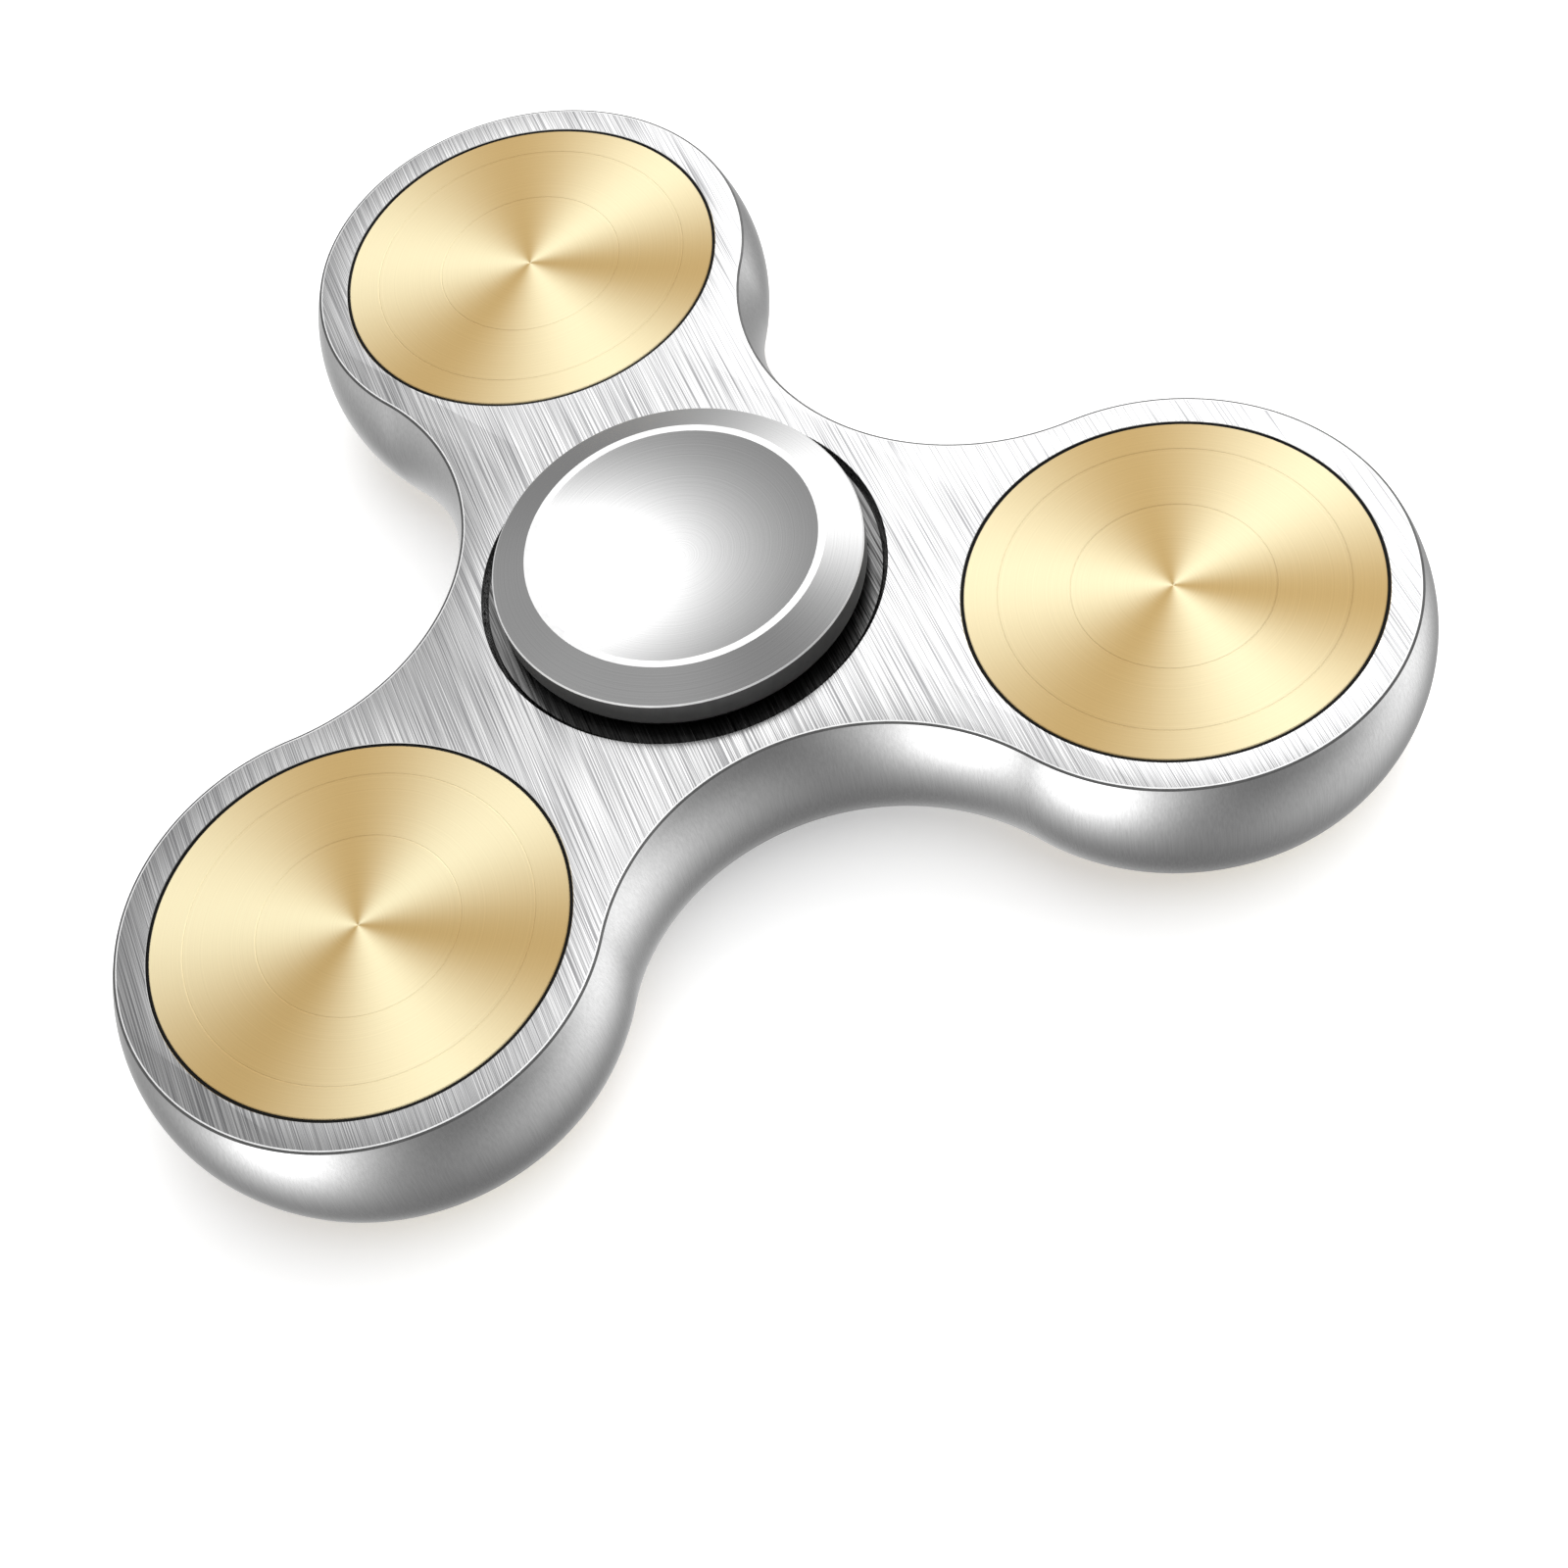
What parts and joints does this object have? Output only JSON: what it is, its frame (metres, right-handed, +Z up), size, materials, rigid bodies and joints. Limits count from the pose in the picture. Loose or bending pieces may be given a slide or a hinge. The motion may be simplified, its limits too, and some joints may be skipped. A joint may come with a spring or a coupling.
{
  "type": "fidget spinner",
  "caption": "Three-lobed metal fidget spinner: round lobes inlaid with gold discs, dished finger pads on a central ball bearing.",
  "frame": {"origin": "centre of the ball bearing, on the spin axis, half way through the body's thickness", "axes": "+Z up along the spin axis; the first lobe points along -Y, the others 120 degrees apart"},
  "size_m": [0.072, 0.066, 0.0132],
  "materials": {
    "body_metal": "brushed",
    "gold_disc": "gold anodised, spun",
    "gasket": "matte",
    "pad_metal": "turned, satin",
    "weight_steel": "turned",
    "race_steel": "ground",
    "ball_steel": "polished",
    "pressed_steel": "stamped"
  },
  "bodies": {
    "hub": {"finger_pad_top": "pad_metal", "finger_pad_bottom": "pad_metal", "bearing_inner_race": "race_steel"},
    "rotor": {"spinner_body": "body_metal", "disc_top_1": "gold_disc", "disc_top_2": "gold_disc", "disc_top_3": "gold_disc", "disc_bottom_1": "gold_disc", "disc_bottom_2": "gold_disc", "disc_bottom_3": "gold_disc", "gasket_top_1": "gasket", "gasket_top_2": "gasket", "gasket_top_3": "gasket", "gasket_bottom_1": "gasket", "gasket_bottom_2": "gasket", "gasket_bottom_3": "gasket", "weight_1": "weight_steel", "weight_2": "weight_steel", "weight_3": "weight_steel", "bearing_outer_race": "race_steel", "bearing_shield_top": "pressed_steel", "bearing_shield_bottom": "pressed_steel"},
    "cage": {"cage_half_top": "pressed_steel", "cage_half_bottom": "pressed_steel", "cage_rivets": "pressed_steel"},
    "ball_1": {"ball_1": "ball_steel"},
    "ball_2": {"ball_2": "ball_steel"},
    "ball_3": {"ball_3": "ball_steel"},
    "ball_4": {"ball_4": "ball_steel"},
    "ball_5": {"ball_5": "ball_steel"},
    "ball_6": {"ball_6": "ball_steel"},
    "ball_7": {"ball_7": "ball_steel"}
  },
  "joints": [
    {"name": "rotor_spin", "type": "hinge", "parent": "hub", "child": "rotor", "pos_m": [0, 0, 0], "axis": [0, 0, 1], "continuous": true},
    {"name": "cage_spin", "type": "hinge", "parent": "hub", "child": "cage", "pos_m": [0, 0, 0], "axis": [0, 0, 1], "continuous": true},
    {"name": "ball_1_spin", "type": "hinge", "parent": "cage", "child": "ball_1", "pos_m": [0.0075, 0, 0], "axis": [0, 0, 1], "continuous": true},
    {"name": "ball_2_spin", "type": "hinge", "parent": "cage", "child": "ball_2", "pos_m": [0.00468, 0.00586, 0], "axis": [0, 0, 1], "continuous": true},
    {"name": "ball_3_spin", "type": "hinge", "parent": "cage", "child": "ball_3", "pos_m": [-0.00167, 0.00731, 0], "axis": [0, 0, 1], "continuous": true},
    {"name": "ball_4_spin", "type": "hinge", "parent": "cage", "child": "ball_4", "pos_m": [-0.00676, 0.00325, 0], "axis": [0, 0, 1], "continuous": true},
    {"name": "ball_5_spin", "type": "hinge", "parent": "cage", "child": "ball_5", "pos_m": [-0.00676, -0.00325, 0], "axis": [0, 0, 1], "continuous": true},
    {"name": "ball_6_spin", "type": "hinge", "parent": "cage", "child": "ball_6", "pos_m": [-0.00167, -0.00731, 0], "axis": [0, 0, 1], "continuous": true},
    {"name": "ball_7_spin", "type": "hinge", "parent": "cage", "child": "ball_7", "pos_m": [0.00468, -0.00586, 0], "axis": [0, 0, 1], "continuous": true}
  ],
  "couplings": [
    {"joint": "cage_spin", "follows": "rotor_spin", "ratio": 0.6323},
    {"joint": "ball_1_spin", "follows": "rotor_spin", "ratio": 1.7573},
    {"joint": "ball_2_spin", "follows": "rotor_spin", "ratio": 1.7573},
    {"joint": "ball_3_spin", "follows": "rotor_spin", "ratio": 1.7573},
    {"joint": "ball_4_spin", "follows": "rotor_spin", "ratio": 1.7573},
    {"joint": "ball_5_spin", "follows": "rotor_spin", "ratio": 1.7573},
    {"joint": "ball_6_spin", "follows": "rotor_spin", "ratio": 1.7573},
    {"joint": "ball_7_spin", "follows": "rotor_spin", "ratio": 1.7573}
  ]
}
